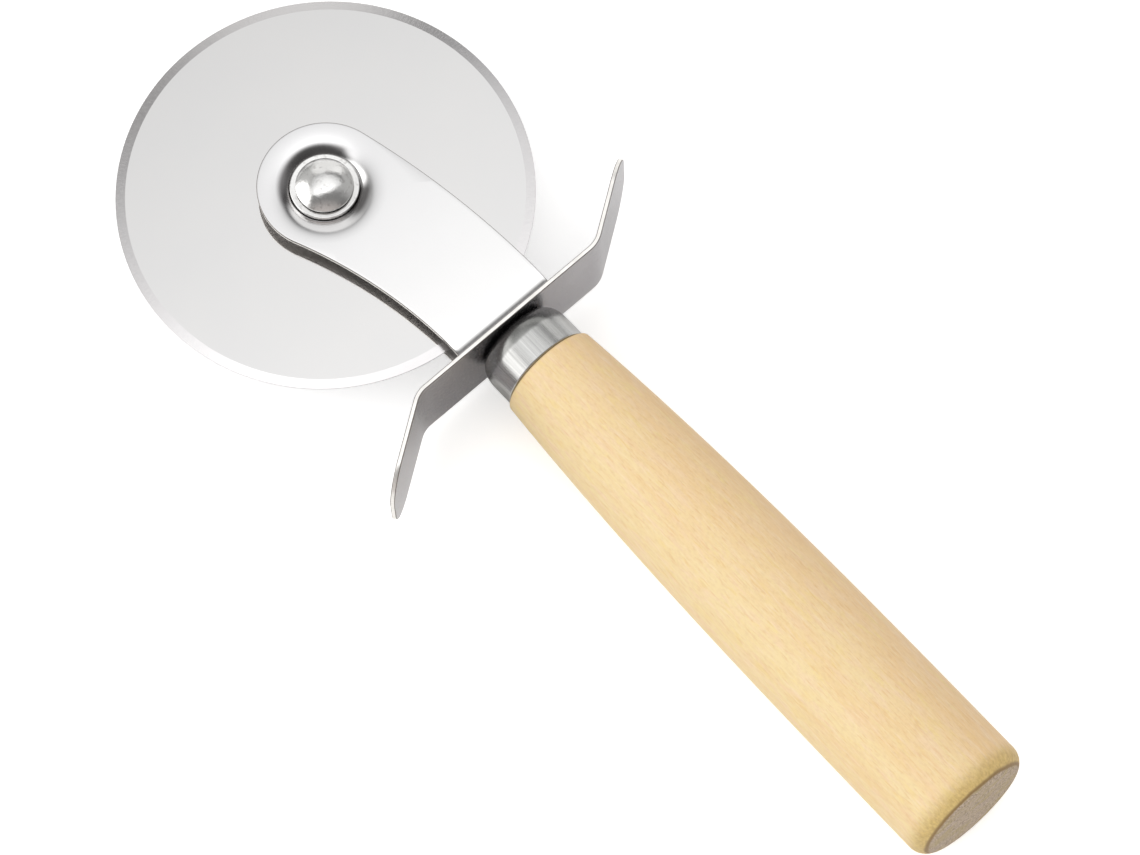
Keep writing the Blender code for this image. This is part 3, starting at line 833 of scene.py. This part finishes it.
def sweep_contact(edge, outward):
    """Where the long curve of an edge meets the circle of the eye: on the line from the axle to
    the curve's centre, at the eye's radius."""
    radius = sweep_radius(edge, outward)
    centre = np.array([SWEEP_END, edge - radius])
    return -outward * math.copysign(1, radius) * centre / np.linalg.norm(centre) * EYE_RADIUS


def dish_level(radius):
    """Level of an arm's middle surface round the rivet: flat to the foot of the dish, then up to
    the arm's level, less the drop times half the square plus half the cube of the share of the
    way that is left."""
    left = 1 - np.clip((radius - DISH_FOOT) / (DISH_EDGE - DISH_FOOT), 0, 1)
    return ARM_LEVEL - (ARM_LEVEL - FLOOR_LEVEL) * (0.5 * left**2 + 0.5 * left**3)


def eye_outline(neck):
    """Points round the fork's eye: up the neck, back along the thumb edge, round the circle, and
    forward along the finger edge."""
    thumb, finger = AXLE_DROP + BASE_HALF, AXLE_DROP - BASE_HALF
    neck_ends = [sweep_edge(neck, finger, -1), sweep_edge(neck, thumb, 1)]
    neck_line = np.linspace(*neck_ends, ARM_WIDTH_POINTS)
    thumb_meet, finger_meet = sweep_contact(thumb, 1), sweep_contact(finger, -1)
    thumb_x = np.linspace(neck, thumb_meet[0], THUMB_EDGE_POINTS)[1:]
    finger_x = np.linspace(finger_meet[0], neck, FINGER_EDGE_POINTS)[1:-1]
    start = math.atan2(thumb_meet[1], thumb_meet[0])
    end = math.atan2(finger_meet[1], finger_meet[0]) + FULL_TURN
    angle = np.linspace(start, end, EYE_POINTS)[1:]
    return np.vstack(
        [
            np.column_stack([0 * neck_line + neck, neck_line]),
            np.column_stack([thumb_x, sweep_edge(thumb_x, thumb, 1)]),
            EYE_RADIUS * np.column_stack([np.cos(angle), np.sin(angle)]),
            np.column_stack([finger_x, sweep_edge(finger_x, finger, -1)]),
        ]
    )


def fork_grids(side, hole):
    """Grids of one arm. Rings round the axle run from the hole through the dish to the eye's
    outline. Cross lines run from the neck round the fold, a quarter ellipse, to the middle of the
    base."""
    neck = DISH_EDGE + 2 * GAP
    outline = eye_outline(neck)
    reach = np.linalg.norm(outline, axis=1)
    spokes = outline / reach[:, None]
    rim = DISH_EDGE - 2 * GAP
    slope = DISH_FOOT + (rim - DISH_FOOT) * np.linspace(0, 1, DISH_RINGS) ** DISH_CROWDING
    inner = np.concatenate([np.linspace(hole, DISH_FOOT, FLOOR_RINGS)[:-1], slope])
    outer = rim + np.linspace(0, 1, RIM_RINGS)[1:, None] * (reach - rim)
    radii = np.vstack([inner[:, None] + 0 * reach, outer])
    rings = np.stack([radii * spokes[:, 0], radii * spokes[:, 1], dish_level(radii)], axis=-1)

    fold_start = BASE_MIDDLE - FOLD_REACH
    arm_x = np.linspace(neck, fold_start, ARM_LINES)
    turn = np.linspace(0, QUARTER_TURN, FOLD_LINES)[1:]
    fold_x = fold_start + FOLD_REACH * np.sin(turn)
    fold_z = ARM_LEVEL - FOLD_DEPTH * (1 - np.cos(turn))
    base_z = fold_z[-1] * BASE_SHARES
    cross_x = np.concatenate([arm_x, fold_x, np.full(len(base_z), BASE_MIDDLE)])
    cross_z = np.concatenate([np.full(len(arm_x), ARM_LEVEL), fold_z, base_z])
    low = sweep_edge(cross_x, AXLE_DROP - BASE_HALF, -1)
    high = sweep_edge(cross_x, AXLE_DROP + BASE_HALF, 1)
    across = low[:, None] + (high - low)[:, None] * np.linspace(0, 1, ARM_WIDTH_POINTS)
    places = [cross_x[:, None] + 0 * across, across, cross_z[:, None] + 0 * across]
    mirror = np.array([1, 1, side])
    return [(rings * mirror, True), (np.stack(places, axis=-1) * mirror, False)]


def make_fork(finishes):
    """The fork, folded from one strip: both arms and the base between them."""
    grids = fork_grids(1, POST_HOLE) + fork_grids(-1, BARREL_HOLE)
    sheet_piece("folded_fork", grids, finishes, FORK_BURR, "fork")


def guard_side(reach, arm):
    """Half of the guard's middle line, and the distance of each point from the tip: straight to
    the bend, round it by the bend's angle, then straight at that angle to the tip."""
    straight = np.linspace(0, reach, GUARD_LINES)
    turn = np.linspace(0, GUARD_ANGLE, GUARD_LINES)[1:]
    tip_turn = np.append(np.linspace(0, math.asin(TIP_SHARE), TIP_LINES)[1:], QUARTER_TURN)
    free = arm - GUARD_CORNER
    corner = free + GUARD_CORNER * np.sin(tip_turn)
    along = np.concatenate([np.linspace(0, free, TIP_ARM_LINES)[1:], corner])
    bend_x = -GUARD_BEND * (1 - np.cos(turn))
    bend_y = reach + GUARD_BEND * np.sin(turn)
    x = np.concatenate([0 * straight, bend_x, bend_x[-1] - along * math.sin(GUARD_ANGLE)])
    y = np.concatenate([straight, bend_y, bend_y[-1] + along * math.cos(GUARD_ANGLE)])
    left = np.full(len(x), GUARD_CORNER)
    left[-len(tip_turn) :] = GUARD_CORNER * (1 - np.sin(tip_turn))
    return np.column_stack([x, y]), left


def make_guard(finishes):
    """The guard: cross lines along its bent path, each as wide as the strip, with rounded tip
    corners whose half width falls as the leg of a right triangle in the corner's circle."""
    thumb, thumb_left = guard_side(THUMB_REACH, THUMB_ARM)
    finger, finger_left = guard_side(FINGER_REACH, FINGER_ARM)
    path = np.vstack([-finger[::-1], thumb[1:]])
    left = np.concatenate([finger_left[::-1], thumb_left[1:]])
    inset = GUARD_CORNER - left
    corner = np.sqrt(np.maximum(GUARD_CORNER**2 - inset**2, 0))
    half = GUARD_HALF - GUARD_CORNER + corner
    height = half[:, None] * np.linspace(-1, 1, GUARD_WIDTH_POINTS)
    x = path[:, :1] + GUARD_MIDDLE + 0 * height
    y = path[:, 1:] + AXLE_DROP + 0 * height
    grids = [(np.stack([x, y, height], axis=-1), False)]
    sheet_piece("bent_guard", grids, finishes, GUARD_BURR, "finger_guard")


def make_ferrule(finish):
    """The ferrule: a drawn cup, its nose a quarter ellipse outside and, less the wall, inside."""
    inner = FERRULE_RADIUS - FERRULE_WALL
    front, inner_front = FERRULE_FRONT, FERRULE_FRONT + FERRULE_WALL
    straight, end = front + NOSE_LENGTH, front + FERRULE_LENGTH
    depth, length = NOSE_DEPTH - FERRULE_WALL, NOSE_LENGTH - FERRULE_WALL
    outside = quarter_ellipse(FERRULE_RADIUS, NOSE_DEPTH, NOSE_LENGTH, front, NOSE_POINTS)[::-1]
    inside = quarter_ellipse(inner, depth, length, inner_front, INNER_NOSE_POINTS)
    tube = [(FERRULE_RADIUS, straight), (FERRULE_RADIUS, end), (inner, end), (inner, straight)]
    rim = rounded(tube, FERRULE_ROUNDS, RIM_STEPS)
    hole = [(SCREW_HOLE, inner_front), (SCREW_HOLE, front), (SCREW_HOLE + SUPPORT, front)]
    section = np.vstack([hole, outside, rim[1:], inside[1:], hole[:1]])
    steel = (finish, "frame", "ferrule_steel")
    turned_piece("ferrule_cup", section, FERRULE_FACETS, *steel, ["ferrule"], along_handle=True)


def make_handle(finish):
    """The handle: its radius is the butt's, less the whole swell times the cube of the share of
    the length that is left, with a rounded butt and neck, a tenon and a pilot hole."""
    swell = HANDLE_RADIUS - NECK_RADIUS
    share = np.linspace(1, 0, HANDLE_POINTS)
    height = NECK_ROUND + (HANDLE_LENGTH - BUTT_ROUND - NECK_ROUND) * share
    body = np.column_stack([HANDLE_RADIUS - swell * (1 - share) ** 3, SHOULDER + height])
    turn = np.linspace(QUARTER_TURN, 0, BUTT_POINTS)
    butt_x = HANDLE_END - BUTT_ROUND + BUTT_ROUND * np.sin(turn)
    butt = np.column_stack([HANDLE_RADIUS - BUTT_ROUND + BUTT_ROUND * np.cos(turn), butt_x])
    turn = np.linspace(0, QUARTER_TURN, NECK_POINTS)[1:]
    neck_x = SHOULDER + NECK_ROUND * (1 - np.sin(turn))
    neck = np.column_stack([NECK_RADIUS - NECK_ROUND * (1 - np.cos(turn)), neck_x])
    tenon_end = SHOULDER - TENON_LENGTH
    inset = FERRULE_WALL + GAP
    depth, length = NOSE_DEPTH - inset, NOSE_LENGTH - inset
    tenon = quarter_ellipse(TENON_RADIUS, depth, length, tenon_end, INNER_NOSE_POINTS)
    pilot_end = SHOULDER + PILOT_END
    bore = [(SCREW_HOLE, tenon_end), (SCREW_HOLE, pilot_end), (0, pilot_end)]
    inside = np.vstack([[(TENON_RADIUS, SHOULDER)], tenon, bore])
    face = [(0, HANDLE_END), (HANDLE_RADIUS - BUTT_ROUND - SUPPORT, HANDLE_END)]
    section = np.vstack([face, butt, body[1:], neck, inside])
    wood = (finish, "frame", "pale_wood")
    turned_piece("turned_handle", section, HANDLE_FACETS, *wood, ["handle"], along_handle=True)


# Studio


def make_camera():
    """The camera, at the photograph's viewing angle."""
    data = bpy.data.cameras.new("camera")
    data.lens = FOCAL_LENGTH
    data.sensor_width = SENSOR_WIDTH
    camera = new_object("camera", data)
    spin = Matrix((CAMERA_RIGHT, CAMERA_UP, CAMERA_BACK)).transposed().to_4x4()
    camera.matrix_world = Matrix.Translation(CAMERA_PLACE) @ spin
    bpy.context.scene.camera = camera


def lobe(tree, direction, centre, reach, strength, core):
    """A round soft glow in the sky: full inside its core and gone at its reach, both in degrees."""
    facing = dotted(tree, direction, tuple(Vector(centre).normalized()))
    outer, inner = math.cos(math.radians(reach)), math.cos(math.radians(core))
    return spread(tree, facing, outer, inner, 0.0, strength, soft=True)


def make_sky():
    """A light tent: a grey horizon, a wide soft glow overhead and one from the finger side. What
    the metal mirrors is a dim room with a pale wall behind the wheel, a bright strip low on the
    finger side and a warm dusk behind the camera. The camera itself sees plain white."""
    world = bpy.data.worlds.new("studio")
    bpy.context.scene.world = world
    world.use_nodes = True
    tree = world.node_tree
    tree.nodes.clear()
    direction = node(tree, "ShaderNodeTexCoord").outputs["Generated"]
    tent = summed(tree, [lobe(tree, direction, *glow) for glow in TENT_GLOWS] + [TENT_BASE])
    room = summed(tree, [lobe(tree, direction, *glow) for glow in ROOM_GLOWS] + [ROOM_BASE])
    path = node(tree, "ShaderNodeLightPath")
    mirrored = path.outputs["Is Glossy Ray"]
    day = weighed(tree, mirrored, tent, room)
    dusk = math_node(tree, "MULTIPLY", lobe(tree, direction, *DUSK_GLOW), mirrored)
    glow = node(tree, "ShaderNodeBackground", {"Color": DAY_COLOUR, "Strength": day})
    warm_glow = node(tree, "ShaderNodeBackground", {"Color": DUSK_COLOUR, "Strength": dusk})
    both = node(tree, "ShaderNodeAddShader", {0: glow.outputs[0], 1: warm_glow.outputs[0]})
    white = node(tree, "ShaderNodeBackground", {"Color": WHITE, "Strength": 1.0})
    shown = {0: path.outputs["Is Camera Ray"], 1: both.outputs[0], 2: white.outputs[0]}
    mix = node(tree, "ShaderNodeMixShader", shown)
    node(tree, "ShaderNodeOutputWorld", {"Surface": mix.outputs[0]})


def mirrored_only(stage_piece):
    """Keeps a studio piece for reflections alone: it is not seen directly, and lights and shades
    nothing."""
    stage_piece.visible_camera = False
    stage_piece.visible_diffuse = False
    stage_piece.visible_shadow = False
    stage_piece.visible_transmission = False
    stage_piece.visible_volume_scatter = False


def stage_sheet(name, corners, finish):
    """A flat rectangle of the studio."""
    mesh = bpy.data.meshes.new(name)
    points = [tuple(float(part) for part in corner) for corner in corners]
    mesh.from_pydata(points, [], [(0, 1, 2, 3)])
    mesh.materials.append(finish)
    return new_object(name, mesh)


def bare_finish(name):
    """A studio material without a shader yet."""
    finish = bpy.data.materials.new(name)
    finish.use_nodes = True
    finish.node_tree.nodes.clear()
    return finish, finish.node_tree


def covered(tree, cover, shader):
    """Shows a shader by its cover, and leaves the rest of the sheet clear."""
    clear = node(tree, "ShaderNodeBsdfTransparent")
    shown = {0: cover, 1: clear.outputs[0], 2: shader.outputs[0]}
    mix = node(tree, "ShaderNodeMixShader", shown)
    node(tree, "ShaderNodeOutputMaterial", {"Surface": mix.outputs[0]})


def make_card():
    """The softbox over the cutter, mirrored in its flat faces. Its glow rises towards the handle
    side: a base, plus a slope times the way along, a curl times its cube and a fall, which is
    below nothing, times the square of the way across. A slanted egg with soft edges bounds it,
    narrower on the handle side."""
    middle = AXLE + np.array([0, 0, CARD_HEIGHT])
    corners = [middle + p * CARD_ALONG + q * CARD_ACROSS for p, q in CARD_CORNERS]
    finish, tree = bare_finish("softbox")
    on_card = spot(tree, middle, METRES)
    ways = [
        math_node(tree, "ADD", dotted(tree, on_card, tuple(axis)), shift)
        for axis, shift in zip((CARD_ALONG, CARD_ACROSS), CARD_SHIFTS)
    ]
    squares = [math_node(tree, "MULTIPLY", way, way) for way in ways]
    curl = math_node(tree, "MULTIPLY_ADD", squares[0], CARD_CURL, CARD_SLOPE)
    rise = math_node(tree, "MULTIPLY", curl, ways[0])
    fall = math_node(tree, "MULTIPLY", squares[1], CARD_FALL)
    level = math_node(tree, "MAXIMUM", summed(tree, [rise, fall, CARD_BASE]), CARD_LEAST)
    slanted = math_node(tree, "MULTIPLY_ADD", ways[1], CARD_SLANT, ways[0])
    ahead = math_node(tree, "DIVIDE", slanted, CARD_AHEAD)
    behind = math_node(tree, "DIVIDE", slanted, CARD_BEHIND)
    aside = math_node(tree, "DIVIDE", ways[1], CARD_ASIDE)
    shares = [math_node(tree, "MAXIMUM", ahead, behind), aside]
    egg = summed(tree, [math_node(tree, "MULTIPLY", share, share) for share in shares])
    cover = spread(tree, egg, 0.50, 1.10, 1.0, 0.0, soft=True)
    covered(tree, cover, node(tree, "ShaderNodeEmission", {"Color": WHITE, "Strength": level}))
    finish.cycles.emission_sampling = "NONE"
    mirrored_only(stage_sheet("softbox", corners, finish))


def make_shadow_sheet():
    """A dark sheet on the floor under the ferrule, a painted shadow that is seen only in
    reflections, in the ferrule's flank and the guard. It fades out smoothly with the distance from
    its middle."""
    middle = AXLE * np.array([1, 1, 0]) + np.array(SHADOW_SHEET_PLACE)
    corners = [middle + np.array([x * SHADOW_SHEET_HALF, y * SHADOW_SHEET_HALF, 0]) for x, y in SQUARE]
    finish, tree = bare_finish("painted_shadow_sheet")
    radius = radius_from(tree, spot(tree, middle, (1.0, 0.8, 1.0)))[1]
    cover = spread(tree, radius, 0.004, 0.015, SHADOW_SHEET_COVER, 0.0, soft=True)
    covered(tree, cover, node(tree, "ShaderNodeBsdfDiffuse", {"Color": (0.13, 0.115, 0.10, 1.0)}))
    mirrored_only(stage_sheet("painted_shadow_sheet", corners, finish))


def make_floor():
    """A white floor that keeps the soft shadow: a matt white, with the rest of the white given to
    the camera's rays, and a smaller part of it to rays of gloss and through glass."""
    finish, tree, shader = new_finish("studio_floor", roughness=0.9, specular_ior_level=0.0)
    mottle = speckle(tree, (0, 0, 0), (30.0, 30.0, 30.0), 2.0)
    colour = mixed(tree, mottle, (0.90, 0.90, 0.90), (0.91, 0.91, 0.91))
    tree.links.new(colour, shader.inputs["Base Color"])
    path = node(tree, "ShaderNodeLightPath")
    gloss, glass = path.outputs["Is Glossy Ray"], path.outputs["Is Transmission Ray"]
    seen = math_node(tree, "MULTIPLY", path.outputs["Is Camera Ray"], FLOOR_SEEN)
    mirrored = math_node(tree, "MAXIMUM", gloss, glass)
    strength = math_node(tree, "MULTIPLY_ADD", mirrored, FLOOR_MIRRORED, seen)
    shader.inputs["Emission Color"].default_value = WHITE
    tree.links.new(strength, shader.inputs["Emission Strength"])
    finish.cycles.emission_sampling = "NONE"
    corners = [(x * FLOOR_HALF, y * FLOOR_HALF, 0) for x, y in SQUARE]
    stage_sheet("studio_floor", corners, finish)


make_camera()
make_wheel(wheel_finish())
make_axle(rivet_finish(), nylon_finish())
fork_edge = cut_edge_finish("sheared_fork_edge", (0.93, 0.91, 0.87))
make_fork([fork_finish(), fork_inside_finish(), fork_edge, burr_finish("fork_burr")])
guard_edge = cut_edge_finish("sheared_guard_edge", (0.96, 0.94, 0.905))
guard_faces = [guard_finish("satin_guard"), guard_finish("satin_guard_back")]
make_guard([*guard_faces, guard_edge, burr_finish("guard_burr")])
make_ferrule(ferrule_finish())
make_handle(wood_finish())

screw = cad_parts["handle_screw"]
screw.data.materials.clear()
screw.data.materials.append(screw_finish())

make_sky()
make_card()
make_shadow_sheet()
make_floor()
bpy.context.scene.view_settings.view_transform = "Standard"
